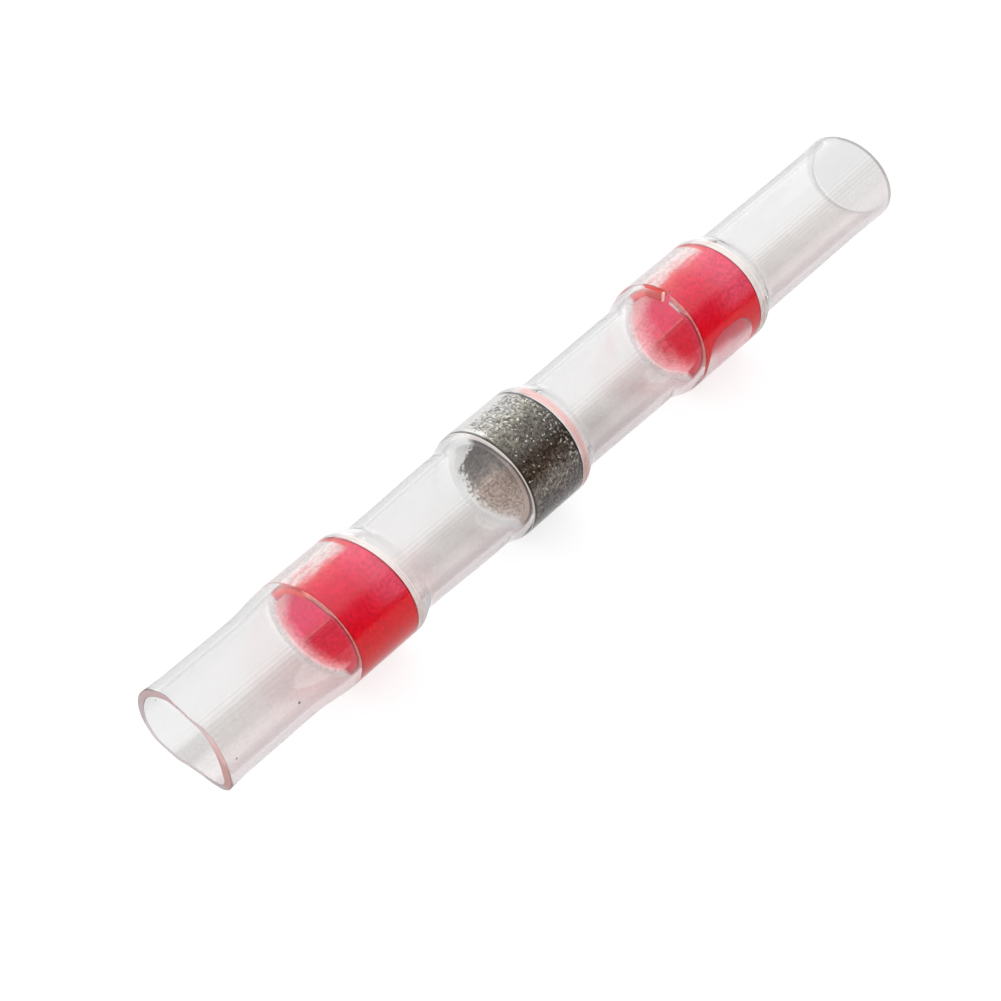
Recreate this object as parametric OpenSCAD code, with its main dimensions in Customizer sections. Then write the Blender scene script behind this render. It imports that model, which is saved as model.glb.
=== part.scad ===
// Solder sleeve connector: a clear heat-shrink tube that holds three rings by being
// necked down between them. A stripped wire goes in at each end, the two meet inside
// the middle ring of solder, and the outer rings of hot-melt adhesive seal the joint.
// The sleeve lies along X, as it comes to rest on a table, with its near end at -X.
// The soft wall is a little flat under each swell, so it doesn't roll.
// Angles round the axis are counted from +Y towards +Z.

/* [Places along the sleeve] */
// From the near end's cut to the near sealing ring
near_lead = 6.4; // [5:0.1:12]
// Width of the near sealing ring
near_seal_w = 3.0; // [2:0.1:5]
// From the near sealing ring to the solder ring
near_gap = 6.8; // [5:0.1:12]
// Width of the solder ring
solder_w = 2.9; // [2:0.1:5]
// From the solder ring to the far sealing ring
far_gap = 7.9; // [5:0.1:12]
// Width of the far sealing ring
far_seal_w = 3.5; // [3.2:0.1:5]
// From the far sealing ring to the far end's cut
far_lead = 9.5; // [6:0.1:14]

/* [Rings] */
// Outside diameter of both sealing rings
seal_d = 4.22; // [4.1:0.02:4.8]
// Wall of both sealing rings
seal_wall = 0.35; // [0.3:0.01:0.6]
// Outside diameter of the solder ring
solder_d = 4.22; // [4.1:0.02:4.8]
// Wall of the solder ring
solder_wall = 0.37; // [0.25:0.01:0.6]
// Radial gap between a ring and the tube that hugs it
ring_fit = 0.01; // [0.005:0.005:0.05]

/* [Tube] */
// Wall of the tube
tube_wall = 0.3; // [0.2:0.01:0.6]
// Inside diameter of the near mouth, which was hardly shrunk
near_mouth_d = 3.9; // [3.4:0.02:4.1]
// Inside diameter of the neck just past the near sealing ring
near_neck_d = 3.58; // [3.3:0.02:4.0]
// Inside diameter of the neck just past the solder ring
far_neck_d = 3.5; // [3.3:0.02:4.0]
// Inside diameter of the far mouth
far_mouth_d = 3.5; // [3.3:0.02:4.0]
// How much the near neck opens on its way to the solder ring, on the diameter
near_neck_opening = 0.18; // [0:0.01:0.3]
// How much the far neck opens on its way to the far ring, on the diameter
far_neck_opening = 0.08; // [0:0.01:0.3]
// Length of the steep shoulder where the tube drapes over a ring's far face
shoulder = 1.0; // [0.6:0.05:1.5]
// Length of the gentle rise before the near sealing ring
near_rise = 2.1; // [1:0.1:3]
// Length of the gentle rise before the solder ring
solder_rise = 1.1; // [0.8:0.1:2]
// Length of the gentle rise before the far sealing ring
far_rise = 1.5; // [0.8:0.1:2.5]
// Flare of the near mouth, on the diameter
near_flare = 0.08; // [0:0.01:0.2]
// Length of the near mouth's flare
near_flare_l = 0.9; // [0.4:0.1:1.5]
// Flare of the far mouth, on the diameter
far_flare = 0.12; // [0:0.01:0.2]
// Length of the far mouth's flare
far_flare_l = 2.0; // [0.5:0.1:3]
// Width of the flats under the swells, on which the sleeve lies
rest_flat_w = 1.3; // [0.5:0.05:1.4]

/* [Slanting cuts] */
// Way in which the near end's cut steps back into the sleeve
near_cut_way = 265; // [0:1:359]
// Slant of the near end's cut
near_cut = 7.3; // [0:0.1:10]
// Way in which the far end's cut and the rings' faces run out along the sleeve
slant_way = 212; // [0:1:359]
// Slant of the far end's cut
far_cut = 5; // [0:0.1:10]
// Slant of the near sealing ring's near face
near_seal_front = 4.3; // [-8:0.1:8]
// Slant of the near sealing ring's far face
near_seal_back = 6.9; // [-8:0.1:8]
// Slant of the solder ring's two faces
solder_slant = 1; // [-8:0.1:8]
// Slant of the far sealing ring's near face
far_seal_front = -4; // [-8:0.1:8]
// Slant of the far sealing ring's far face
far_seal_back = 2.9; // [-8:0.1:8]

/* [Flaws of the far sealing ring] */
// Way that the hollow in its outside faces
hollow_way = 210; // [0:1:359]
// Diameter of the hollow's round edge
hollow_d = 2.9; // [1:0.1:3.1]
// Depth of the hollow
hollow_depth = 0.27; // [0.05:0.01:0.29]
// Adhesive left between the hollow and the ring's far face
hollow_margin = 0.15; // [0.05:0.05:0.6]
// Angle at which the burr on its near face begins
burr_from = 62; // [0:1:359]
// Arc that the burr covers
burr_arc = 26; // [5:1:60]
// Height of the burr
burr_h = 0.12; // [0.05:0.01:0.12]
// Thickness of the burr, which stands on the middle of the wall
burr_w = 0.24; // [0.1:0.01:0.26]
// Width of the nick beside the burr
nick_w = 0.2; // [0.1:0.05:0.5]
// Depth of the nick
nick_depth = 0.25; // [0.1:0.05:0.5]

/* [Hidden] */
$fn = 96;
// Straight pieces that make up one eased rise or shoulder
STEPS = 12;
// Larger than anything that a half space has to cut
BIG = 60;
// How far a cutting shape runs past what it cuts
OVER = 1;

// Where each ring's near and far face crosses the axis, from the near end's cut
near_seal_x = near_lead;
solder_x = near_seal_x + near_seal_w + near_gap;
far_seal_x = solder_x + solder_w + far_gap;
length = far_seal_x + far_seal_w + far_lead;

// Inside radii of the tube
seal_seat_r = seal_d / 2 + ring_fit;
solder_seat_r = solder_d / 2 + ring_fit;
near_mouth_r = near_mouth_d / 2;
near_neck_r = near_neck_d / 2;
far_neck_r = far_neck_d / 2;
far_mouth_r = far_mouth_d / 2;
near_lip_r = near_mouth_r + near_flare / 2;
far_lip_r = far_mouth_r + far_flare / 2;

// Outside radius of the largest swell, and how far below the axis the sleeve lies on its flats
swell_r = max(seal_seat_r, solder_seat_r) + tube_wall;
rest_depth = sqrt(pow(swell_r, 2) - pow(rest_flat_w / 2, 2));

// How far a slanting face runs past the place where it crosses the axis
function slant_run(r, slant) = r * tan(abs(slant));
near_tip = slant_run(near_lip_r + tube_wall, near_cut);
far_tip = slant_run(far_lip_r + tube_wall, far_cut);

// The seat of each ring is round and straight from end to end of its slanting faces
seats = [
    [near_seal_x - slant_run(seal_seat_r, near_seal_front),
     near_seal_x + near_seal_w + slant_run(seal_seat_r, near_seal_back)],
    [solder_x - slant_run(solder_seat_r, solder_slant),
     solder_x + solder_w + slant_run(solder_seat_r, solder_slant)],
    [far_seal_x - slant_run(seal_seat_r, far_seal_front),
     far_seal_x + far_seal_w + slant_run(seal_seat_r, far_seal_back)],
];

// Inside of the tube as [place, radius], from beyond the near tip to beyond the far one
stations = [
    [-near_tip, near_lip_r],
    [0, near_lip_r],
    [near_flare_l, near_mouth_r],
    [seats[0][0] - near_rise, near_mouth_r],
    [seats[0][0], seal_seat_r],
    [seats[0][1], seal_seat_r],
    [seats[0][1] + shoulder, near_neck_r],
    [seats[1][0] - solder_rise, near_neck_r + near_neck_opening / 2],
    [seats[1][0], solder_seat_r],
    [seats[1][1], solder_seat_r],
    [seats[1][1] + shoulder, far_neck_r],
    [seats[2][0] - far_rise, far_neck_r + far_neck_opening / 2],
    [seats[2][0], seal_seat_r],
    [seats[2][1], seal_seat_r],
    [seats[2][1] + shoulder, far_mouth_r],
    [length - far_flare_l, far_mouth_r],
    [length, far_lip_r],
    [length + far_tip, far_lip_r],
];

// Eases from 0 to 1, level at both ends
function ease(u) = (1 - cos(180 * u)) / 2;

// Points from one station up to the next, in one straight piece where the radius stays
function stretch(a, b) =
    let (n = a[1] == b[1] ? 1 : STEPS)
    [for (i = [0 : n - 1]) [a[0] + (b[0] - a[0]) * i / n, a[1] + (b[1] - a[1]) * ease(i / n)]];

last = len(stations) - 1;
bore = concat([for (i = [0 : last - 1]) each stretch(stations[i], stations[i + 1])], [stations[last]]);

// Centre of the whole length, where the origin lies
middle = (length + far_tip - near_tip) / 2;

// Turns what stands on Z at the near end's cut into the lying sleeve
module lay() {
    translate([-middle, 0, 0])
        rotate([0, 90, 0])
            children();
}

// All that lies beyond a plane which crosses the axis at x and runs out towards way
module beyond(x, slant, way, side) {
    translate([x - middle, 0, 0])
        rotate([way, 0, 0])
            rotate([0, 0, -slant])
                translate([side > 0 ? 0 : -BIG, -BIG / 2, -BIG / 2])
                    cube(BIG);
}

// A ring with two slanting faces, cut from a longer tube
module ring(d, wall, x, w, front, back) {
    spare = slant_run(d, max(abs(front), abs(back)));
    difference() {
        lay()
            translate([0, 0, x - spare])
                difference() {
                    cylinder(h = w + 2 * spare, d = d);
                    translate([0, 0, -OVER])
                        cylinder(h = w + 2 * (spare + OVER), d = d - 2 * wall);
                }
        beyond(x, front, slant_way, -1);
        beyond(x + w, back, slant_way, 1);
    }
}

// What presses the flats: it is level under the swells, and runs out in a slope at each end
module ground() {
    from = seats[0][0];
    to = seats[2][1];
    translate([-middle, BIG / 2, 0])
        rotate([90, 0, 0])
            linear_extrude(BIG)
                polygon([
                    [from - near_rise, -near_mouth_r - tube_wall],
                    [from, -rest_depth],
                    [to, -rest_depth],
                    [to + shoulder, -far_mouth_r - tube_wall],
                    [to + shoulder, -BIG],
                    [from - near_rise, -BIG],
                ]);
}

// The tube is the skilled part: one wall that swells over each ring and necks in past it
module heat_shrink_tube() {
    color([0.93, 0.92, 0.92, 0.4])
        difference() {
            lay()
                rotate_extrude()
                    polygon(concat(
                        [for (p = bore) [p[1], p[0]]],
                        [for (i = [len(bore) - 1 : -1 : 0]) [bore[i][1] + tube_wall, bore[i][0]]]
                    ));
            beyond(0, near_cut, near_cut_way, -1);
            beyond(length, far_cut, slant_way, 1);
            ground();
        }
}

module sealing_ring_near() {
    color([0.86, 0.1, 0.2])
        ring(seal_d, seal_wall, near_seal_x, near_seal_w, near_seal_front, near_seal_back);
}

module solder_ring() {
    color([0.42, 0.41, 0.39])
        ring(solder_d, solder_wall, solder_x, solder_w, solder_slant, solder_slant);
}

// A round hollow in the ring's outside, which leaves a thin floor of adhesive
module hollow() {
    centre = far_seal_x + far_seal_w - hollow_margin - hollow_d / 2;
    difference() {
        translate([centre - middle, 0, 0])
            rotate([hollow_way - 90, 0, 0])
                cylinder(h = seal_d, d = hollow_d);
        lay()
            translate([0, 0, far_seal_x - BIG / 2])
                cylinder(h = BIG, r = seal_d / 2 - hollow_depth);
    }
}

// A low ridge left on the near face by the cutter
module burr() {
    recess = slant_run(seal_d / 2, far_seal_front);
    rotate([burr_from + 90, 0, 0])
        lay()
            translate([0, 0, far_seal_x - burr_h])
                rotate_extrude(angle = burr_arc)
                    translate([(seal_d - seal_wall - burr_w) / 2, 0])
                        square([burr_w, burr_h + 2 * recess]);
}

// A small bite out of the near face, just before the burr begins
module nick() {
    translate([far_seal_x - burr_h - middle, 0, 0])
        rotate([burr_from + burr_arc, 0, 0])
            translate([0, seal_d / 2 - 2 * seal_wall, 0])
                cube([burr_h + nick_depth, 2 * seal_wall + OVER, nick_w]);
}

module sealing_ring_far() {
    color([0.86, 0.1, 0.2])
        difference() {
            union() {
                ring(seal_d, seal_wall, far_seal_x, far_seal_w, far_seal_front, far_seal_back);
                burr();
            }
            hollow();
            nick();
        }
}

heat_shrink_tube();
sealing_ring_near();
solder_ring();
sealing_ring_far();
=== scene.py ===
import math

import bmesh
import bpy
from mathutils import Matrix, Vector, noise


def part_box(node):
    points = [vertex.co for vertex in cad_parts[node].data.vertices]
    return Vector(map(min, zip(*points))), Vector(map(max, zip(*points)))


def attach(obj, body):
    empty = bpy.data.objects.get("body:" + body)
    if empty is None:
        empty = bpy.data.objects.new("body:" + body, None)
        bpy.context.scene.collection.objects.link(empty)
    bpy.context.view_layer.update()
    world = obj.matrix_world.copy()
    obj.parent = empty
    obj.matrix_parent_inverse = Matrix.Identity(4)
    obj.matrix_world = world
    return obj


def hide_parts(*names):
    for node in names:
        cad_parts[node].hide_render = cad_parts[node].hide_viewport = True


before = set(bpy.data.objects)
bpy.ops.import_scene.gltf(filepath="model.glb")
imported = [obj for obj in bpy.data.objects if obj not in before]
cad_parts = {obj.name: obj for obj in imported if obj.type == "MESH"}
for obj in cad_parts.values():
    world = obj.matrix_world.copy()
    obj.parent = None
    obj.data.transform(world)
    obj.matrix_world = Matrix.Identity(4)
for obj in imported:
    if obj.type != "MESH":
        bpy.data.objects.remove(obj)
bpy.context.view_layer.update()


# Near sealing ring: red hot-melt adhesive, cut slantwise from a moulded tube. It is 3 mm
# wide with a wall of 0.35 mm. It wets the shrunk wall, except along a strip past its upper
# outline, where the wall lies loose and a pale reflection is painted on it.
MM = 0.001
# Its outside radius and its wall, in millimetres as all sizes here
SEAL_R, SEAL_WALL = 2.11, 0.35
# Where its faces cross the axis, from the middle of the sleeve, how many degrees each leans,
# and how far light washes out the red of its bore
NEAR_RING = {"near": -13.5456, "far": -10.5456, "near_slant": 4.3, "far_slant": 6.9,
             "washed": 0.75}
# Ways round the axis, in degrees from +Y towards +Z: the way that the faces lean, and the way
# that the show side faces. A turn counts from the show side down to the shaded flank.
SLANT_WAY = 212
SHOW_WAY = 122
# How far the outside is pressed into the wall, and how deep under it the ring gives way
WETTED, SKIN = 0.028, 0.04
# The turns between which the wall lies loose, and a pale reflection is painted
LOOSE_FROM, LOOSE_TO = -98, -46


def lean_towards(way, slant):
    """How far a slanting face runs along X for each millimetre in Y and in Z."""
    run = math.tan(math.radians(slant))
    return run * math.cos(math.radians(way)), run * math.sin(math.radians(way))


def turn_of(co):
    """How far round from the show side a point lies, from -180 to 180 degrees."""
    return (math.degrees(math.atan2(co.z, co.y)) - SHOW_WAY + 180) % 360 - 180


def step(value, low, high):
    """0 below low and 1 above high, with a soft step between, or falling if low > high."""
    share = min(1, max(0, (value - low) / (high - low)))
    return share * share * (3 - 2 * share)


def revolve(profile, turns):
    """A closed mesh, in millimetres, from a closed profile of (place, radius) turned round X."""
    bm = bmesh.new()
    rim = [bm.verts.new((x, 0, r)) for x, r in profile]
    edges = [bm.edges.new((rim[i - 1], rim[i])) for i in range(len(rim))]
    bmesh.ops.spin(bm, geom=rim + edges, cent=(0, 0, 0), axis=(1, 0, 0), angle=math.tau,
                   steps=turns, use_merge=True)
    bmesh.ops.remove_doubles(bm, verts=bm.verts, dist=1e-5)
    bmesh.ops.recalc_face_normals(bm, faces=bm.faces)
    return bm


def is_hoop(edge, places):
    """True for an edge that runs round the axis at one of some (place, radius)."""
    a, b = edge.verts
    if abs(a.co.x - b.co.x) > 1e-5:
        return False
    r = math.hypot(a.co.y, a.co.z)
    return any(abs(a.co.x - x) < 1e-4 and abs(r - s) < 1e-3 for x, s in places)


def round_off(bm, places, width, segments=3):
    """Rounds the edges that run round the axis at some (place, radius)."""
    bmesh.ops.bevel(bm, geom=[e for e in bm.edges if is_hoop(e, places)], offset=width,
                    offset_type="OFFSET", affect="EDGES", segments=segments, profile=0.5,
                    material=-1, clamp_overlap=True)


def to_piece(bm, name, finishes):
    """Makes a smooth piece in metres from a mesh in millimetres."""
    bmesh.ops.recalc_face_normals(bm, faces=bm.faces)
    bmesh.ops.scale(bm, vec=(MM, MM, MM), verts=bm.verts)
    mesh = bpy.data.meshes.new(name)
    bm.to_mesh(mesh)
    bm.free()
    for polygon in mesh.polygons:
        polygon.use_smooth = True
    for finish in finishes:
        mesh.materials.append(finish)
    piece = bpy.data.objects.new(name, mesh)
    bpy.context.scene.collection.objects.link(piece)
    return piece


class Shade:
    """A number that varies over a surface, or a shader. Sums on it become Math nodes."""

    def __init__(self, finish, socket):
        self.finish, self.socket = finish, socket

    def sum(self, operation, *terms):
        return self.finish.node("Math", {"operation": operation}, dict(enumerate(terms)))

    def __add__(self, other):
        return self.sum("ADD", self, other)

    def __radd__(self, other):
        return self.sum("ADD", other, self)

    def __sub__(self, other):
        return self.sum("SUBTRACT", self, other)

    def __rsub__(self, other):
        return self.sum("SUBTRACT", other, self)

    def __mul__(self, other):
        return self.sum("MULTIPLY", self, other)

    def __rmul__(self, other):
        return self.sum("MULTIPLY", other, self)

    def __truediv__(self, other):
        return self.sum("DIVIDE", self, other)

    def __rtruediv__(self, other):
        return self.sum("DIVIDE", other, self)

    def most(self, other):
        return self.sum("MAXIMUM", self, other)

    def rise(self, low, high):
        """0 below low and 1 above high, with a soft step between, or falling if low > high."""
        start, end = (0, 1) if low < high else (1, 0)
        return self.finish.node(
            "MapRange", {"interpolation_type": "SMOOTHSTEP", "clamp": True},
            {0: self, 1: min(low, high), 2: max(low, high), 3: start, 4: end})

    def band(self, low, high, soft):
        """1 between low and high, fading out over soft on either side."""
        return self.rise(low - soft, low) * self.rise(high + soft, high)


class Finish:
    """A material, or the world, under construction."""

    def __init__(self, name, blocks="materials", end="OutputMaterial"):
        self.block = getattr(bpy.data, blocks).new(name)
        self.block.use_nodes = True
        self.tree = self.block.node_tree
        self.tree.nodes.clear()
        self.end = end

    def node(self, kind, settings=None, inputs=None, output=0):
        """Adds a node and returns one of its outputs."""
        made = self.tree.nodes.new("ShaderNode" + kind)
        for name, value in (settings or {}).items():
            if name == "stops":
                for place, colour in value[2:]:
                    made.color_ramp.elements.new(place)
                for element, (place, colour) in zip(made.color_ramp.elements, sorted(value)):
                    element.position, element.color = place, colour
            else:
                setattr(made, name, value)
        for name, value in (inputs or {}).items():
            if isinstance(value, Shade):
                self.tree.links.new(value.socket, made.inputs[name])
            else:
                made.inputs[name].default_value = value
        return Shade(self, made.outputs[output])

    def millimetres(self, stretch=(1, 1, 1)):
        """The place on the piece in millimetres, turned so that Y faces the show side and Z
        the shaded flank. A stretch draws a pattern out along an axis."""
        place = self.node("TexCoord", output="Object")
        scale = [1000 / s for s in stretch]
        return self.node("Mapping", {"vector_type": "POINT"}, {
            "Vector": place, "Scale": scale, "Rotation": (math.radians(-SHOW_WAY), 0, 0)})

    def locate(self):
        """Works out where a point of the piece lies, in millimetres: x along the axis, front
        towards the show side, flank towards the shaded flank, and radius out from the axis.
        Side runs from -1 at the upper outline to 1 at the lower one."""
        self.place = self.millimetres()
        parts = self.node("SeparateXYZ", None, {0: self.place}).socket.node
        self.x, self.front, self.flank = [Shade(self, output) for output in parts.outputs]
        across = self.node("CombineXYZ", None, {1: self.front, 2: self.flank})
        self.radius = self.node("VectorMath", {"operation": "LENGTH"}, {0: across}, "Value")
        self.side = self.flank / self.radius

    def grain(self, vector, scale, detail=2.0, rough=0.5):
        """A cloudy pattern from 0 to 1."""
        return self.node("TexNoise", {"noise_dimensions": "3D"},
                         {"Vector": vector, "Scale": scale, "Detail": detail, "Roughness": rough})

    def blend(self, first, second, share):
        """One colour fading into another."""
        return self.node("Mix", {"data_type": "RGBA"}, {0: share, 6: first, 7: second}, 2)

    def ramp(self, share, stops):
        """A colour that runs through some stops of (place, colour)."""
        return self.node("ValToRGB", {"stops": stops}, {0: share})

    def shift(self, colour, light):
        """A colour made lighter or darker by a factor."""
        return self.node("VectorMath", {"operation": "SCALE"}, {0: colour, 3: light})

    def relief(self, height, strength, depth):
        """A bump from a height, in metres."""
        return self.node("Bump", None, {"Height": height, "Strength": strength, "Distance": depth})

    def done(self, surface):
        """Closes the material, or the world, with its outermost shader."""
        out = self.tree.nodes.new("ShaderNode" + self.end)
        self.tree.links.new(surface.socket, out.inputs["Surface"])
        return self.block


def lit_through(f, skin, tint):
    """Closes a finish whose piece lets lamps shine through it, dimmed to a tint."""
    shadow = f.node("LightPath", output="Is Shadow Ray")
    through = f.node("BsdfTransparent", None, {"Color": tint})
    return f.done(f.node("MixShader", None, {0: shadow, 1: skin, 2: through}))


def past_face(f, ring, face):
    """How far along the axis a point lies past a ring's slanting near or far face."""
    lean = lean_towards(SLANT_WAY - SHOW_WAY, ring[face + "_slant"])
    return f.x - f.front * lean[0] - f.flank * lean[1] - ring[face]


def near_edge(f, from_near):
    """A ring's near face, the rim of its outside and bore behind, where glare is painted, and all
    that lies behind.
    """
    face = from_near.rise(0.035, 0.015)
    rim = from_near.rise(0.16, 0.05) * f.front.rise(-0.1, -0.5)
    return face, rim, f.front.rise(0, -0.4)


def adhesive_outside(f, lit_to_shaded, streak, fine, grip):
    """Painted light and shade: pink on the lit show side to deep red on the shaded flank, and
    pale where the wall is loose, as a painted reflection.
    """
    # Painted light and shade: pink on the lit show side, deep red on the shaded flank
    deep = f.ramp(lit_to_shaded, [
        (0.10, (0.75, 0.110, 0.120, 1)), (0.20, (0.76, 0.080, 0.100, 1)),
        (0.28, (0.75, 0.042, 0.080, 1)), (0.36, (0.73, 0.022, 0.062, 1)),
        (0.45, (0.70, 0.012, 0.040, 1)), (0.60, (0.74, 0.010, 0.032, 1)),
        (0.71, (0.84, 0.004, 0.020, 1)), (0.92, (1.0, 0.004, 0.010, 1))])
    # Pale painted reflection where the wall lies loose, palest by the upper outline, and red mixed
    # with pink over the hollow on the flank
    pale = f.blend((0.80, 0.63, 0.61, 1), (0.80, 0.36, 0.37, 1), streak.rise(0.42, 0.66))
    pale = f.blend(pale, (0.82, 0.74, 0.73, 1), f.side.rise(-0.82, -0.93))
    hollow = f.blend((0.72, 0.06, 0.08, 1), (0.84, 0.36, 0.38, 1), fine * 0.8)
    pale = f.blend(pale, hollow, f.side.rise(-0.1, 0.2))
    return f.blend(pale, deep, (grip + (streak - 0.5) * 0.5).rise(0.15, 0.85))


def adhesive_bore(f, lit_to_shaded, from_near, behind, washed):
    """Painted light: pinker than the outside, pinkest towards the lit upper side, with a light and
    a dark line along it for the reflected edge of the soft box, and washed out by glare towards
    its open end behind. It also gives how washed out it is."""
    inner = f.ramp(lit_to_shaded, [
        (0.20, (1.0, 0.100, 0.29, 1)), (0.44, (0.98, 0.062, 0.21, 1)),
        (0.52, (0.84, 0.040, 0.110, 1)), (0.90, (0.82, 0.036, 0.085, 1))])
    inner = f.blend(inner, (1.0, 0.36, 0.42, 1), f.flank.band(-0.03, 0.02, 0.03) * behind * 0.55)
    inner = f.blend(inner, (0.50, 0.02, 0.04, 1), f.flank.band(0.07, 0.10, 0.03) * behind * 0.5)
    mouth_glare = (from_near * (0.75 / washed) + (f.grain(f.place, 8.0, 1) - 0.5) * 0.4
             - f.side.rise(-0.55, -0.90) * 0.35)
    mouth_glare = mouth_glare.rise(0.75, -0.05) * behind
    return f.blend(inner, (1.0, 0.64, 0.66, 1), mouth_glare), mouth_glare


def adhesive_edges(f, colour, from_near, past_far, grip, outside):
    """Darkens with painted shade the edges of the outside where the wall grips them, and the
    hollow's outline.
    """
    painted_by_edge = (from_near.rise(0.09, 0.04) * f.front.rise(-0.4, 0.1)).most(
        past_far.rise(-0.11, -0.05))
    painted_by_edge = painted_by_edge * f.radius.rise(SEAL_R - 0.10, SEAL_R - 0.04)
    colour = f.blend(colour, (0.34, 0.006, 0.008, 1), painted_by_edge * grip * 0.75)
    painted_by_hollow = grip.band(0.20, 0.80, 0.1) * f.side.rise(0.1, 0.3) * outside
    return f.blend(colour, (0.30, 0.008, 0.010, 1), painted_by_hollow * 0.7)


def adhesive_cut(f, inner, fine, behind):
    """The cut face: salmon painted light from its outer edge inwards, over less of it on the
    flank, with painted dark lines and a bright red upper part, and painted glare that turns it
    white behind. It also gives how far the glare reaches, and how far it is painted to glow red."""
    inset = f.radius - SEAL_R + 0.21 - f.side.rise(-0.15, 0.10) * 0.16
    shown = f.front.rise(-0.3, 0.4) * f.side.rise(-0.66, -0.54)
    light = inset.rise(-0.015, 0.015) * shown
    glare_fade = (f.radius - SEAL_R + 0.16 + (fine - 0.5) * 0.30).rise(-0.32, 0.02) * behind
    high = f.side.rise(-0.35, -0.60) * f.front.rise(-0.3, 0.2)
    low = inset.rise(-0.08, -0.12) * f.front.rise(0, 0.4) * f.side.rise(-0.3, 0)
    back = f.blend(inner, (1.0, 0.12, 0.09, 1), high)
    back = f.blend(back, (1.0, 0.94, 0.93, 1), glare_fade)
    dark = (inset.band(-0.06, -0.02, 0.02) * shown).most(
        inset.rise(0.09, 0.12) * f.front.rise(-0.2, 0.3) * f.side.rise(-0.54, -0.66))
    back = f.blend(back, (0.34, 0.014, 0.012, 1), dark * 0.8)
    return f.blend(back, (0.93, 0.34, 0.28, 1), light * (0.7 + fine * 0.3)), glare_fade, low.most(high)


def adhesive(name, ring, marks=None):
    """Red hot-melt adhesive: deep red where it wets the wall, with painted light and shade over
    it, a pale painted reflection where the wall lies loose, pinker inside and salmon where it is
    cut.
    Marks adds what the cutter left, if anything."""
    f = Finish(name)
    f.locate()
    grip = f.node("Attribute", {"attribute_name": "grip"}, None, "Fac")
    cloud = f.grain(f.place, 0.9, 3)
    fine = f.grain(f.place, 7.0, 2, 0.7).rise(0.3, 0.7)
    streak = f.grain(f.millimetres((5, 1, 1)), 3.2, 3, 0.6)
    # From the lit upper side to the shaded flank, for painted light and shade
    lit_to_shaded = f.side * 0.46 + 0.5 + (cloud - 0.5) * 0.20 + (streak - 0.5) * 0.10
    from_near, past_far = past_face(f, ring, "near"), past_face(f, ring, "far")
    face, rim, behind = near_edge(f, from_near)
    outside = f.radius.rise(SEAL_R - 0.22, SEAL_R - 0.12)
    inner, mouth_glare = adhesive_bore(f, lit_to_shaded, from_near, behind, ring["washed"])
    colour = f.blend(inner, adhesive_outside(f, lit_to_shaded, streak, fine, grip), outside)
    # Painted pink haze on the lit show side, away from the near face
    painted_lit_haze = from_near.rise(1.0, 2.8) * f.side.band(-0.6, 0.35, 0.2)
    colour = f.blend(colour, (0.88, 0.17, 0.27, 1), painted_lit_haze * 0.45 * f.radius.rise(2.0, 2.1))
    colour = adhesive_edges(f, colour, from_near, past_far, grip, outside)
    # Painted glare on the rim of the outside and bore behind
    colour = f.blend(colour, (1.0, 0.93, 0.92, 1), rim)
    cut, glare_fade, red_glow = adhesive_cut(f, inner, fine, behind)
    if marks:
        colour, cut = marks(f, colour, cut, from_near)
    colour = f.shift(f.blend(colour, cut, face), 0.85 + fine * 0.30)
    # Painted glow: the edge behind glows with the light of the table passing through it, and the
    # inner part of the face with the red of the ring
    passed_glow = (mouth_glare * mouth_glare * (1 - outside)).most(rim).most(glare_fade * face)
    glow = f.blend(f.shift((0.15, 0.14, 0.14), passed_glow), (0.18, 0.004, 0.010, 1),
                   red_glow * face)
    skin = f.node("BsdfPrincipled", None, {
        "Base Color": colour, "Roughness": 0.42 + fine * 0.16, "IOR": 1.48,
        "Emission Color": glow, "Emission Strength": 1.0,
        "Specular IOR Level": 0.1, "Subsurface Weight": 0.15,
        "Subsurface Radius": (0.0010, 0.0002, 0.0002), "Subsurface Scale": 0.4,
        "Normal": f.relief(cloud * 0.4 + fine * 0.3, 0.3, 0.00004)})
    return lit_through(f, skin, (1.0, 0.50, 0.58, 1))


def ring_profile(ring, radius, wall):
    """The four corners of a ring's section."""
    return [(ring["near"], radius), (ring["far"], radius),
            (ring["far"], radius - wall), (ring["near"], radius - wall)]


def ring_mesh(ring, radius, wall, turns=240, cuts=24, round_by=0.035):
    """A ring with softened edges, before its faces are leant."""
    profile = ring_profile(ring, radius, wall)
    bm = revolve(profile, turns)
    round_off(bm, profile, round_by)
    along = [e for e in bm.edges if abs(e.verts[0].co.x - e.verts[1].co.x) > 1]
    bmesh.ops.subdivide_edges(bm, edges=along, cuts=cuts, use_grid_fill=True)
    return bm


def slant_faces(bm, ring):
    """Leans the two faces of a ring and all between them."""
    near_lean = lean_towards(SLANT_WAY, ring["near_slant"])
    far_lean = lean_towards(SLANT_WAY, ring["far_slant"])
    for v in bm.verts:
        share = (v.co.x - ring["near"]) / (ring["far"] - ring["near"])
        lean = [a + (b - a) * share for a, b in zip(near_lean, far_lean)]
        v.co.x += lean[0] * v.co.y + lean[1] * v.co.z


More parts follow.
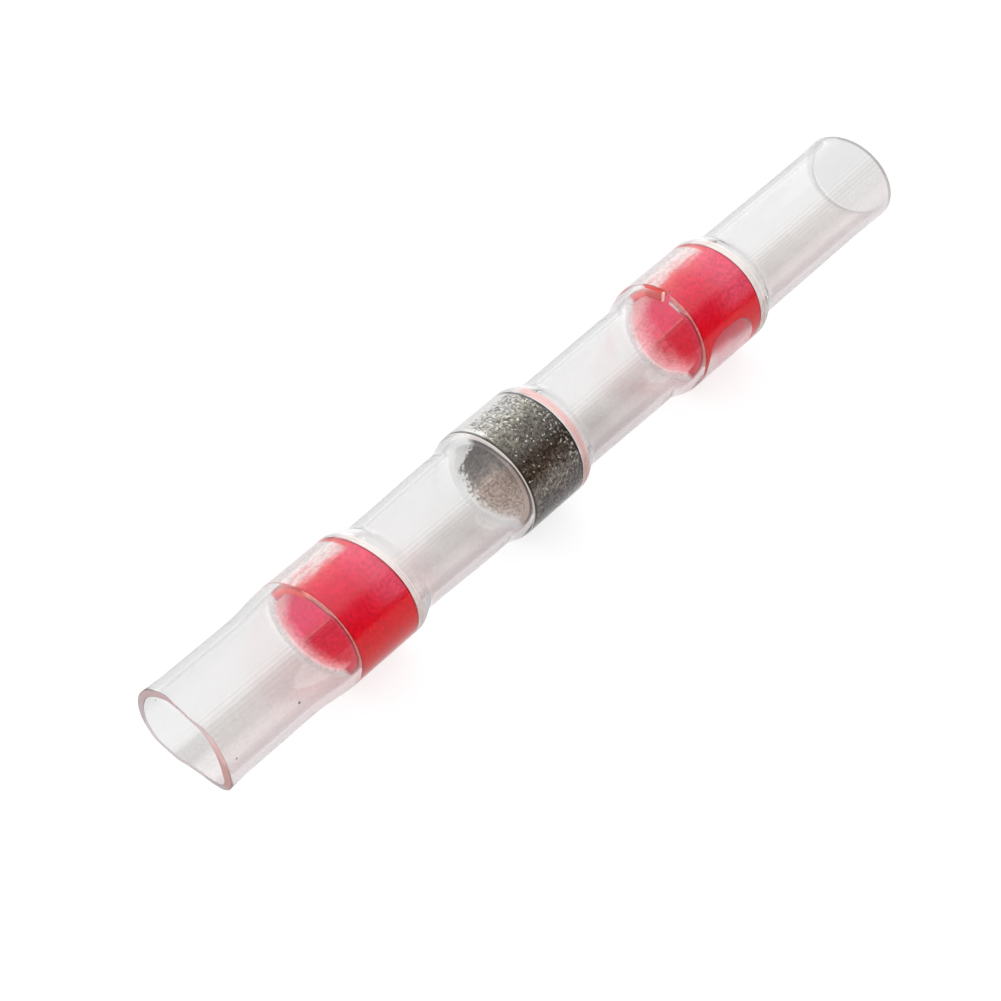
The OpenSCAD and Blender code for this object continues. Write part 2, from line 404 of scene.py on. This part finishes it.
def wet(bm, ring, radius, hollow=None):
    """Presses the outside into the wall, sinks it where there is a hollow, and notes for the
    finish how well the wall grips it. Where it is loose, the finish paints a pale reflection."""
    grip = bm.verts.layers.float.new("grip")
    for v in bm.verts:
        r = math.hypot(v.co.y, v.co.z)
        turn = turn_of(v.co)
        # The loose strip's painted reflection fades out round the ring, and short of its far face
        loose = (step(turn, LOOSE_FROM - 12, LOOSE_FROM + 12)
                 * step(turn, LOOSE_TO + 12, LOOSE_TO - 10)
                 * step(v.co.x, ring["far"] - 0.15, ring["far"] - 0.45 - 0.004 * (turn + 60)))
        sink = hollow(v.co, turn) if hollow else 0
        v[grip] = 1 - max(loose, min(1, sink * 8))
        if r > radius - SKIN:
            r_new = r + WETTED * (r - radius + SKIN) / SKIN - sink
            v.co.y *= r_new / r
            v.co.z *= r_new / r


bm = ring_mesh(NEAR_RING, SEAL_R, SEAL_WALL)
wet(bm, NEAR_RING, SEAL_R)
slant_faces(bm, NEAR_RING)
near_ring = to_piece(bm, "near_ring_red", [adhesive("red_adhesive_near", NEAR_RING)])
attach(near_ring, "root")
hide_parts("sealing_ring_near")


# Solder ring: a 2.9 mm length cut from a drawn tube of low-melting solder, with a wall of
# 0.37 mm. Its surface is dull, grainy and unevenly brown from flux, with painted light and
# shade over it.
SOLDER_R, SOLDER_WALL = 2.11, 0.37
SOLDER_RING = {"near": -3.7456, "far": -0.8456, "near_slant": 1.0, "far_slant": 1.0}


def solder_outside(f, colour, fleck, from_near, outside):
    """Adds bright flecks painted as glints, thickest by the far edge, a pale painted reflection
    where the wall isn't wetted, past the upper outline and by the near edge, and painted dark
    edges. Towards the far edge, away from the upper outline, it is also darker."""
    painted_by_edge = from_near.rise(1.9, 2.6).most(f.side.rise(-0.3, -0.7)) * 0.07
    colour = f.blend(colour, (0.86, 0.84, 0.76, 1),
                     (fleck + painted_by_edge).rise(0.66, 0.74) * outside * 0.9)
    colour = f.shift(colour, 1 - from_near.rise(1.6, 2.6) * f.side.rise(-0.7, -0.4) * 0.35)
    unwet_sheen = f.side.rise(-0.85, -0.97).most(from_near.rise(0.8, 0.1) * f.side.rise(-0.50, -0.72))
    unwet_sheen = (unwet_sheen + (fleck - 0.5) * 1.4).rise(0.50, 0.80) * outside * f.front.rise(-0.7, -0.2)
    colour = f.blend(colour, (0.90, 0.89, 0.87, 1), unwet_sheen * 0.85)
    # Painted dark lines along the near and far edges
    edge = from_near.band(0.04, 0.12, 0.03) * f.front.rise(-0.4, 0.1)
    edge = edge.most(from_near.rise(2.74, 2.84)) * outside
    return f.blend(colour, (0.030, 0.022, 0.018, 1), edge * 0.85)


def solder_cut(f, bore, fine, behind):
    """The cut face: a painted highlight along its outer edge with a painted dark line inside it,
    and painted glare that loses it behind. It also gives how far it is lost."""
    inset = f.radius - SOLDER_R + 0.10 - f.side.rise(-0.3, 0.1) * 0.08
    light = inset.rise(-0.015, 0.015) * f.front.rise(-0.2, 0.3)
    glare_fade = (f.radius - SOLDER_R + 0.20 + (fine - 0.5) * 0.4).rise(-0.36, -0.10)
    glare_fade = glare_fade * behind.most(f.side.rise(-0.75, -0.9))
    back = f.blend(bore, (0.96, 0.99, 0.98, 1), glare_fade)
    dark = inset.band(-0.10, -0.02, 0.02) * f.front.rise(-0.2, 0.3) * f.side.rise(-0.9, -0.7)
    back = f.blend(back, (0.07, 0.055, 0.045, 1), dark * 0.8)
    return f.blend(back, (1.0, 0.95, 0.90, 1), light), glare_fade


def solder_metal():
    """Dull cast metal with a coarse grain, bright flecks painted as glints, and a band brown with
    flux, under painted light and shade.
    """
    f = Finish("dull_solder")
    f.locate()
    coarse = f.grain(f.place, 1.3, 4, 0.6)
    fine = f.grain(f.place, 8.0, 2, 0.75)
    fleck = f.grain(f.place, 9.0, 1, 0.5)
    # From the lit upper side to the shaded flank, for painted light and shade
    lit_to_shaded = f.side * 0.46 + 0.5 + (coarse - 0.5) * 0.34
    # Brown with flux, with painted light: pale grey towards the upper outline, darkest below the
    # middle
    flux_brown_and_painted_light = f.ramp(lit_to_shaded, [
        (0.10, (0.36, 0.36, 0.34, 1)), (0.21, (0.28, 0.27, 0.23, 1)),
        (0.28, (0.19, 0.18, 0.145, 1)), (0.35, (0.115, 0.105, 0.080, 1)),
        (0.46, (0.075, 0.062, 0.048, 1)), (0.65, (0.055, 0.033, 0.022, 1)),
        (0.79, (0.22, 0.185, 0.155, 1)), (0.94, (0.10, 0.080, 0.074, 1))])
    # The bore is painted dark along its upper side and light below, as shade and light fall in it
    bore = f.ramp(lit_to_shaded, [
        (0.20, (0.16, 0.15, 0.14, 1)), (0.40, (0.34, 0.31, 0.28, 1)),
        (0.52, (0.62, 0.52, 0.46, 1)), (0.80, (0.84, 0.72, 0.64, 1))])
    from_near = past_face(f, SOLDER_RING, "near")
    face, rim, behind = near_edge(f, from_near)
    outside = f.radius.rise(SOLDER_R - 0.25, SOLDER_R - 0.12)
    colour = f.shift(f.blend(bore, flux_brown_and_painted_light, outside), 0.60 - outside * 0.35
                     + fine.rise(0.34, 0.66) * (0.8 + outside * 0.85))
    # The bore is lost in glare towards its mouth, behind and along its upper side
    upper = f.side.rise(-0.68, -0.88)
    mouth_glare = (from_near + (f.grain(f.place, 7.0, 1) - 0.5) * 1.6 - upper * 0.7).rise(0.50, 0.10)
    mouth_glare = mouth_glare * behind.most(upper) * (1 - outside)
    colour = f.blend(colour, (0.96, 0.98, 0.97, 1), mouth_glare.most(rim) * 0.92)
    colour = solder_outside(f, colour, fleck, from_near, outside)
    cut, glare_fade = solder_cut(f, bore, fine, behind)
    # Painted glow where glare washes out the bore, the rim behind and the cut face
    glare = (mouth_glare * mouth_glare).most(rim).most(glare_fade * face)
    metal = f.node("BsdfPrincipled", None, {
        "Base Color": f.blend(colour, cut, face),
        "Metallic": 0.45 * outside, "Roughness": 0.42 + fine * 0.3,
        "Emission Color": f.shift((0.17, 0.19, 0.19), glare), "Emission Strength": 1.0,
        "Specular IOR Level": 0.2,
        "Normal": f.relief(fine * 0.7 + fleck * 0.3, 0.9, 0.00007)})
    return lit_through(f, metal, (0.40, 0.38, 0.35, 1))


bm = ring_mesh(SOLDER_RING, SOLDER_R, SOLDER_WALL)
wet(bm, SOLDER_RING, SOLDER_R)
slant_faces(bm, SOLDER_RING)
solder_ring = to_piece(bm, "solder_ring_dull", [solder_metal()])
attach(solder_ring, "root")
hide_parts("solder_ring")


# Far sealing ring: the same red adhesive, 3.5 mm wide. It has a shallow oval hollow in its
# shaded flank, and the cutter left a burr and a nick on its near face.
FAR_RING = {"near": 7.0544, "far": 10.5544, "near_slant": -4.0, "far_slant": 2.9,
            "washed": 1.45}
# The turn and place of the hollow, its half length along and across, and its depth
HOLLOW_TURN, HOLLOW_X, HOLLOW_HALF, HOLLOW_DEPTH = 84, 8.64, (1.34, 1.57), 0.27
# Turns of the burr and the nick, half their widths in degrees, and their height and depth
BURR_TURN, BURR_HALF, BURR_H = -47, 13, 0.12
NICK_TURN, NICK_HALF, NICK_DEPTH = -30, 3.5, 0.25


def hollow(co, turn):
    """How deep the hollow sinks the outside at a point."""
    across = math.radians(min(90, max(-90, turn - HOLLOW_TURN))) * SEAL_R
    parts = (co.x - HOLLOW_X) / HOLLOW_HALF[0], across / HOLLOW_HALF[1]
    off = sum(abs(part) ** 3 for part in parts) ** (1 / 3)
    ridge = 0.02 * math.sin(co.x * 22 + across * 3)
    return step(off, 1.05, 0.94) * (HOLLOW_DEPTH + ridge)


def burr_and_nick(f, colour, cut, from_near):
    """What the cutter left: a dark red-brown burr, and by the nick a painted highlight on the
    face's edge and a painted glint near the bore.
    """
    angle = f.flank.sum("ARCTAN2", f.flank, f.front)
    burr = angle.band(-1.10, -0.62, 0.03) * from_near.rise(0.12, 0.04)
    colour = f.blend(colour, (0.24, 0.020, 0.008, 1), burr)
    cut = f.blend(cut, (0.60, 0.020, 0.006, 1), burr)
    cut = f.blend(cut, (0.98, 0.80, 0.66, 1), angle.band(-0.60, -0.50, 0.03))
    glint = angle.band(-0.46, -0.22, 0.14) * f.radius.band(1.80, 1.88, 0.06)
    return colour, f.blend(cut, (1.0, 0.80, 0.82, 1), glint)


bm = ring_mesh(FAR_RING, SEAL_R, SEAL_WALL, turns=288, cuts=56)
for v in bm.verts:
    turn = turn_of(v.co)
    at_face = step(v.co.x, FAR_RING["near"] + 0.30, FAR_RING["near"])
    burr = step(abs(turn - BURR_TURN), BURR_HALF + 2, BURR_HALF - 3)
    nick = step(abs(turn - NICK_TURN), NICK_HALF + 1, NICK_HALF - 1)
    v.co.x += at_face * (NICK_DEPTH * nick - BURR_H * burr)
wet(bm, FAR_RING, SEAL_R, hollow)
slant_faces(bm, FAR_RING)
far_ring = to_piece(bm, "far_ring_red", [adhesive("red_adhesive_far", FAR_RING, burr_and_nick)])
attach(far_ring, "root")
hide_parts("sealing_ring_far")


# Heat-shrink tube: one length of clear, slightly milky polyolefin, 40 mm long with a wall
# of 0.3 mm. It was shrunk over the rings on a rod, so it swells over each ring, drops off
# its far face in a short shoulder and necks in. Both ends are cut off slantwise.
LENGTH, WALL = 40.0, 0.3
# How far the middle of the sleeve lies from the near cut. Places below are from that cut.
MIDDLE = 19.9456
# Place and inside radius at the two mouths, each with the point where its flare ends
NEAR_MOUTH, FAR_MOUTH = [(0.0, 1.99), (0.9, 1.95)], [(38.0, 1.75), (LENGTH, 1.81)]
# Inside radius of each swell, and the length of the shoulder past it
SWELL_R, SHOULDER = 2.12, 1.05
# Each ring with how long the wall rises on to it, how far it runs straight past both faces,
# its inside radius before the rise and past the shoulder, and how far before and past the
# ring it leans as the ring's faces do
SWELLS = ((NEAR_RING, 2.21, 0.05, (1.95, 1.79), (2.4, 1.2)),
          (SOLDER_RING, 1.09, 0.05, (1.88, 1.75), (1.2, 1.1)),
          (FAR_RING, 1.55, 0.10, (1.79, 1.75), (1.7, 1.2)))
# How each cut leans, as a way and a slant, and where the wall stands square by it
NEAR_LEAN, NEAR_SQUARE, FAR_LEAN, FAR_SQUARE = (265, 7.3), 1.4, (SLANT_WAY, 5), 38.6
# Steps in a clear and in a slight change of radius, and the least that is a clear one
EASED, SLIGHT, CLEAR_CHANGE = 12, 5, 0.1
# Rounding of the edges at the two cuts, and the share by which the wall is uneven
NEAR_EDGE, FAR_EDGE, UNEVEN = 0.03, 0.012, 0.001
# Turn, how far the knife wavered there at the near cut, and how far the outer edge is
# drawn back from the inner one
NEAR_CUT = [(-180, (0.01, 0)), (-160, (-0.07, 0)), (-135, (-0.04, 0)), (-105, (0.04, 0)),
            (-60, (0.10, 0.08)), (-45, (0.12, 0.08)), (-30, (0, -0.03)), (-12, (-0.06, -0.05)),
            (2, (0.02, 0.06)), (15, (0.03, 0.16)), (30, (-0.04, 0.17)), (45, (-0.10, 0.19)),
            (60, (-0.15, 0.18)), (90, (-0.13, 0.06)), (115, (0, 0)), (130, (0.08, 0)),
            (145, (0.14, 0)), (160, (0.12, 0)), (172, (0.03, 0)), (180, (0.01, 0))]
# How far from the near cut the waver reaches
WAVER_FADES = 0.9
# Each ring with the width of the painted highlight just past it, tinted by the light that
# the wall carries from the red rings
SHOULDER_GLINTS = ((NEAR_RING, 0.06), (SOLDER_RING, 0.17), (FAR_RING, 0.12))
# Specks in the wall: place along the axis, to the show side and to the flank, and size
SPECKS = (((-16.48, 1.62, 1.56), 0.09), ((-19.64, 1.60, 1.58), 0.07),
          ((-19.45, -0.84, -1.76), 0.05))
REST_DEPTH = -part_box("heat_shrink_tube")[0][2] / MM


def between(table, place):
    """The entry of a table of (place, (value, value)) at a place, straight between its rows."""
    for (a, first), (b, second) in zip(table, table[1:]):
        if place <= b:
            share = min(1, max(0, (place - a) / (b - a)))
            return [p + (q - p) * share for p, q in zip(first, second)]
    return list(table[-1][1])


def wall_stations():
    """Where the bore changes, as (place, radius): the mouths, and a swell over each ring."""
    stations = list(NEAR_MOUTH)
    for ring, rise, past, (before, after), _ in SWELLS:
        start, stop = ring["near"] + MIDDLE - past, ring["far"] + MIDDLE + past
        stations += [(start - rise, before), (start, SWELL_R),
                     (stop, SWELL_R), (stop + SHOULDER, after)]
    return stations + FAR_MOUTH


def wall_leans():
    """How the wall's section leans along the sleeve, as (place, lean)."""
    leans = [(0, lean_towards(*NEAR_LEAN)), (NEAR_SQUARE, (0, 0))]
    for ring, _, _, _, (before, past) in SWELLS:
        near, far = ring["near"] + MIDDLE, ring["far"] + MIDDLE
        near_lean = lean_towards(SLANT_WAY, ring["near_slant"])
        far_lean = lean_towards(SLANT_WAY, ring["far_slant"])
        leans += [(near - before, near_lean), (near, near_lean),
                  (far, far_lean), (far + past, far_lean)]
    return leans + [(FAR_SQUARE, (0, 0)), (LENGTH, lean_towards(*FAR_LEAN))]


def eased_bore():
    """The bore as (place, radius), each change of radius eased as the shrunk wall is."""
    stations = wall_stations()
    points = []
    for (a, r), (b, s) in zip(stations, stations[1:]):
        steps = EASED if abs(r - s) > CLEAR_CHANGE else SLIGHT
        for i in range(steps):
            share = i / steps
            points.append((a + (b - a) * share,
                           r + (s - r) * (1 - math.cos(math.pi * share)) / 2))
    return points + [stations[-1]]


def strongest(shades):
    """The largest of some numbers that vary over a surface."""
    largest = shades[0]
    for shade in shades[1:]:
        largest = largest.most(shade)
    return largest


def seen_through(f, clear, milk, share):
    """A clear shader with a share of milk, through which lamps shine as if it weren't there."""
    veiled = f.node("MixShader", None, {0: share, 1: clear, 2: milk})
    shadow = f.node("LightPath", output="Is Shadow Ray")
    diffuse = f.node("LightPath", output="Is Diffuse Ray")
    through = f.node("BsdfTransparent", None, {"Color": (0.98, 0.975, 0.975, 1)})
    return f.done(f.node("MixShader", None, {0: shadow.most(diffuse), 1: veiled, 2: through}))


def painted_wall_shade(f):
    """Painted shade: greyer towards both outlines and pink on the shaded flank, with a painted
    pink glow near a red ring.
    """
    tint = f.ramp(f.side * 0.5 + 0.5, [
        (0.0, (0.64, 0.64, 0.64, 1)), (0.035, (0.76, 0.76, 0.76, 1)),
        (0.08, (0.825, 0.825, 0.825, 1)), (0.14, (0.867, 0.867, 0.867, 1)),
        (0.25, (0.885, 0.885, 0.885, 1)), (0.41, (0.885, 0.885, 0.882, 1)),
        (0.50, (0.862, 0.855, 0.85, 1)), (0.592, (0.82, 0.80, 0.79, 1)),
        (0.685, (0.80, 0.78, 0.775, 1)), (0.775, (0.785, 0.755, 0.75, 1)),
        (0.87, (0.81, 0.775, 0.77, 1)),
        (0.9625, (0.71, 0.645, 0.65, 1)), (1.0, (0.64, 0.58, 0.59, 1))])
    painted_red_glow = strongest([f.x.band(-14.6, -13.2, 2.4), f.x.band(6.2, 7.4, 2.4),
                        f.x.band(-10.6, -9.6, 1.2)])
    return f.blend(tint, (0.86, 0.68, 0.68, 1), painted_red_glow * (0.04 + f.side.rise(-0.3, 0.5) * 0.39))


def die_lines_and_painted_light(f, fine):
    """How light the wall is painted, with the die's fine lines along its middle. At each open end
    only one wall is in the line of sight, so there it is painted darker by what the other takes."""
    waves = (f.flank.sum("ARCTAN2", f.flank, f.front) * 77
             + f.grain(f.millimetres((9, 1, 1)), 0.8) * 9)
    lines = waves.sum("SINE", waves) * f.side.band(-0.10, 0.30, 0.08) * f.front.rise(0, 0.3)
    open_far = (f.x + f.front * 1.82 - f.flank * 0.0875).rise(20.12, 20.24)
    open_far = open_far * f.front.rise(0, 0.1) * (0.21 - f.side.rise(-0.2, 0.4) * 0.14)
    open_near = (f.x + f.front * 0.76 - f.flank * 0.077).rise(-19.90, -20.02)
    open_near = open_near * f.front.rise(0, -0.1) * (0.05 + f.side.band(0.10, 0.32, 0.16) * 0.17)
    # Painted shade: between the red rings the flank is a little darker, and before the near one
    # lighter
    painted_neck_shade = f.x.band(-9.5, 5.5, 0.6) * f.side.rise(0, 0.3) * 0.02
    painted_lead_in_light = f.x.rise(-14.8, -16.5) * (f.side.rise(0.4, 0.55) * 0.045
                                        - f.side.band(0.1, 0.3, 0.1) * 0.025)
    return (1.0 + lines * 0.035 + (fine - 0.5) * (0.03 + f.side.rise(-0.3, 0.5) * 0.06)
            - open_far - open_near - painted_neck_shade + painted_lead_in_light)


def wall_by_rings(f):
    """The wall over each ring, the painted highlight past it, its milky shoulder and the neck's
    start, where shade is painted.
    """
    covers, shoulder_glints, shoulders, starts = [], [], [], []
    for ring, width in SHOULDER_GLINTS:
        past = past_face(f, ring, "far")
        covers.append(past.band(ring["near"] - ring["far"], 0, 0.05))
        shoulder_glints.append(past.band(0.06, 0.06 + width, 0.04))
        shoulders.append(past.band(0.12, 0.75, 0.15))
        starts.append(past.band(0.7, 1.7, 0.7))
    return [strongest(shades) for shades in (covers, shoulder_glints, shoulders, starts)]


def specks(f):
    """Where the specks in the wall are."""
    dots = []
    for spot, size in SPECKS:
        off = f.node("VectorMath", {"operation": "DISTANCE"}, {0: f.place, 1: spot}, "Value")
        dots.append(off.rise(size, size * 0.4))
    return strongest(dots)


def clear_plastic():
    """Clear polyolefin, tinted with painted shade: wetted and clearer over the rings, with a
    painted highlight past each, milky at the outlines of the shoulders, and with a few dark
    specks."""
    f = Finish("clear_polyolefin")
    f.locate()
    cloud = f.grain(f.millimetres((3, 1, 1)), 1.1, 3, 0.55)
    fine = f.grain(f.place, 9.0, 2, 0.7).rise(0.3, 0.7)
    over, shoulder_glint, shoulder, start = wall_by_rings(f)
    over = over * f.side.band(-0.85, 0.97, 0.05)
    veil = shoulder * (f.side * f.side).rise(0.42, 0.66) * 0.8
    tint = f.shift(painted_wall_shade(f), die_lines_and_painted_light(f, fine))
    # Painted shade on the flank where each neck starts, and just past the middle
    tint = f.shift(tint, 1 - start * f.side.rise(0.05, 0.35) * 0.04
                   - f.x.band(0.3, 3.0, 1.0) * f.side.rise(0, 0.6) * 0.09)
    tint = f.blend(tint, (0.97, 0.96, 0.96, 1), over * 0.9)
    tint = f.shift(tint, 1 + (fine - 0.6) * over * 0.09)
    # Over the hollow the flank is painted pink, for the red of the ring seen through the gap
    painted_by_hollow = f.x.band(7.7, 10.0, 0.3) * f.side.rise(0.66, 0.80)
    tint = f.blend(tint, (0.95, 0.60, 0.63, 1), painted_by_hollow * 0.85)
    clear = f.node("BsdfPrincipled", None, {
        "Base Color": tint, "Transmission Weight": 1.0, "IOR": 1.34,
        "Roughness": 0.04 + cloud * 0.05 + over * 0.12,
        "Normal": f.relief(cloud, 0.04, 0.00004)})
    # The painted highlight is pale past the red rings, red past the solder ring, and grey
    # towards the upper outline
    speck = specks(f)
    milky = f.blend((0.95, 0.84, 0.76, 1), (0.92, 0.46, 0.42, 1), f.x.band(-3, 2, 1))
    milky = f.blend(milky, (0.82, 0.78, 0.78, 1), f.side.rise(-0.74, -0.88))
    milky = f.blend((0.94, 0.93, 0.93, 1), milky, shoulder_glint)
    milky = f.blend(milky, (0.10, 0.07, 0.07, 1), speck)
    milk = f.node("BsdfPrincipled", None, {
        "Base Color": milky, "Roughness": 0.4, "Specular IOR Level": 0.3})
    return seen_through(f, clear, milk, (shoulder_glint * 0.6).most(veil).most(speck * 0.8))


def cut_plastic():
    """The knife's cut across the wall: pink at the near end, a painted glow of the red light that
    it gathers from the ring, with painted dark lines along its edges there, and pale at the far
    end, where it is painted to glow behind."""
    f = Finish("cut_polyolefin")
    f.locate()
    cloud = f.grain(f.place, 1.6, 2)
    fine = f.grain(f.place, 12.0, 3, 0.6)
    near_end = f.x.rise(10, 0)
    pink = f.blend((0.94, 0.67, 0.68, 1), (0.92, 0.53, 0.49, 1),
                   f.flank.rise(0.2, 1.2) * f.front.rise(-0.6, 0.4))
    pink = f.blend(pink, (0.88, 0.78, 0.78, 1), f.front.rise(0.3, -1.2))
    pale = f.blend((0.96, 0.95, 0.95, 1), (0.66, 0.62, 0.62, 1), f.front.rise(-0.5, 1.0))
    colour = f.blend(pale, pink, near_end)
    # Painted dark lines along the edges of the near cut
    line = f.radius.rise(2.22, 2.27).most(f.radius.rise(2.04, 2.00)) * near_end
    colour = f.blend(colour, (0.42, 0.25, 0.25, 1), line * (0.2 + cloud * 0.4))
    # Painted glow on the far cut, behind
    glow = f.front.rise(0.6, -0.4) * (1 - near_end)
    milk = f.node("BsdfPrincipled", None, {
        "Base Color": f.shift(colour, 0.88 + fine * 0.24), "Roughness": 0.5,
        "Emission Color": f.shift((0.16, 0.155, 0.155), glow), "Emission Strength": 1.0,
        "Specular IOR Level": 0.3, "Normal": f.relief(fine, 0.3, 0.00003)})
    clear = f.node("BsdfPrincipled", None, {
        "Base Color": (0.98, 0.97, 0.97, 1), "Transmission Weight": 1.0, "IOR": 1.02,
        "Roughness": 0.05})
    return seen_through(f, clear, milk, near_end * 0.10 + 0.75)


bore = eased_bore()
outside = [(x, r + WALL) for x, r in bore]
profile = [(x - MIDDLE, r) for x, r in bore + outside[::-1]]
bm = revolve(profile, 240)
ends = [profile[0], profile[-1], profile[len(bore) - 1], profile[len(bore)]]
for face in bm.faces:
    if len({round(v.co.x, 4) for v in face.verts}) == 1:
        face.material_index = 1
round_off(bm, ends[:2], NEAR_EDGE)
round_off(bm, ends[2:], FAR_EDGE, 2)
leans = wall_leans()
for v in bm.verts:
    lean = between(leans, v.co.x + MIDDLE)
    run = lean[0] * v.co.y + lean[1] * v.co.z
    swell = 1 + UNEVEN * noise.noise(Vector((v.co.x * 0.25, v.co.y * 0.3, v.co.z * 0.3)))
    waver, draw = between(NEAR_CUT, turn_of(v.co))
    outward = (math.hypot(v.co.y, v.co.z) - NEAR_MOUTH[0][1]) / WALL
    fading = step(v.co.x + MIDDLE, WAVER_FADES, 0.0)
    v.co.x += run + (waver - draw * (1 - outward) * 0.6) * fading
    v.co.y *= swell
    v.co.z = max(v.co.z * swell, -REST_DEPTH)
tube = to_piece(bm, "clear_sleeve", [clear_plastic(), cut_plastic()])
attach(tube, "root")
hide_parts("heat_shrink_tube")


# Table: a plain white sheet that the sleeve lies on. It looks white to the camera, through
# the clear wall and in reflections, and keeps the sleeve's shadow.
SHEET_HALF = 1500
WHITE_RAYS = ("Is Camera Ray", "Is Glossy Ray", "Is Transmission Ray")
bm = bmesh.new()
bmesh.ops.create_grid(bm, x_segments=1, y_segments=1, size=SHEET_HALF)
bmesh.ops.translate(bm, vec=(0, 0, -REST_DEPTH), verts=bm.verts)
f = Finish("white_sheet")
seen = strongest([f.node("LightPath", output=ray) for ray in WHITE_RAYS])
paper = f.node("BsdfDiffuse", None, {"Color": (0.30, 0.30, 0.30, 1)})
lift = f.node("Emission", None, {"Color": (1, 1, 1, 1), "Strength": seen * 0.74})
table = to_piece(bm, "white_sheet", [f.done(f.node("AddShader", None, {0: paper, 1: lift}))])


# Light: one wide soft box overhead, a low strip beyond the sleeve and a fill on the show side.
# The soft box ends in line with the show side, so its edge draws a line along the tube.
def soft_box(name, centre, aim, width, length, glow):
    """A flat lamp that faces some point. It is long along X, and a glow of 1 is white."""
    lamp = bpy.data.lights.new(name, "AREA")
    lamp.shape = "RECTANGLE"
    lamp.size, lamp.size_y = length, width
    lamp.energy = glow * math.pi * width * length
    holder = bpy.data.objects.new(name, lamp)
    holder.location = centre
    facing = Vector(aim) - Vector(centre)
    holder.rotation_euler = facing.to_track_quat("-Z", "Y").to_euler()
    holder.visible_camera = False
    bpy.context.scene.collection.objects.link(holder)
    return holder


soft_box("overhead_soft_box", centre=(0.10, 0.043, 0.200), aim=(0.10, 0.043, 0),
         width=0.333, length=0.50, glow=1.0)
soft_box("low_strip", centre=(0.10, 0.26, 0.120), aim=(0.10, 0, 0.120),
         width=0.235, length=0.50, glow=1.1)
fill = soft_box("near_fill", centre=(-0.26, -0.22, 0.16), aim=(0, 0, 0),
                width=0.30, length=0.40, glow=1.65)
fill.visible_glossy = False
fill.visible_transmission = False

# A dark card takes the glare off the shaded flank. Only reflections show it.
bm = bmesh.new()
CARD_CORNERS = [(-300, -250, 0), (800, -250, 0), (800, -250, 295), (-300, -250, 295)]
bm.faces.new([bm.verts.new(corner) for corner in CARD_CORNERS])
f = Finish("dark_card")
grey = f.node("BsdfDiffuse", None, {"Color": (0.03, 0.03, 0.03, 1)})
card = to_piece(bm, "dark_card", [f.done(grey)])
card.visible_camera = False
card.visible_diffuse = False
card.visible_transmission = False
card.visible_shadow = False

# The room is a plain grey that lights the sleeve, and white to the camera and in the clear wall
f = Finish("studio", "worlds", "OutputWorld")
room = f.node("Background", None, {"Color": (0.34, 0.34, 0.35, 1)})
white = f.node("Background", None, {"Color": (1, 1, 1, 1)})
for ray in WHITE_RAYS:
    room = f.node("MixShader", None, {0: f.node("LightPath", output=ray), 1: room, 2: white})
bpy.context.scene.world = f.done(room)


# Camera: it looks down on the lying sleeve from beside its near end, as in the photograph.
# Its place is in millimetres, and its look is a direction.
CAMERA_PLACE = (-56.03, -44.60, 70.69)
CAMERA_LOOK = (0.52991, 0.44578, -0.72144)
camera_data = bpy.data.cameras.new("camera")
camera_data.sensor_width = 36
camera_data.lens = 93.5
camera_data.clip_start = 0.005
camera_data.clip_end = 10
camera = bpy.data.objects.new("camera", camera_data)
camera.location = Vector(CAMERA_PLACE) * MM
camera.rotation_euler = Vector(CAMERA_LOOK).to_track_quat("-Z", "Y").to_euler()
bpy.context.scene.collection.objects.link(camera)
bpy.context.scene.camera = camera
bpy.context.scene.view_settings.view_transform = "Standard"
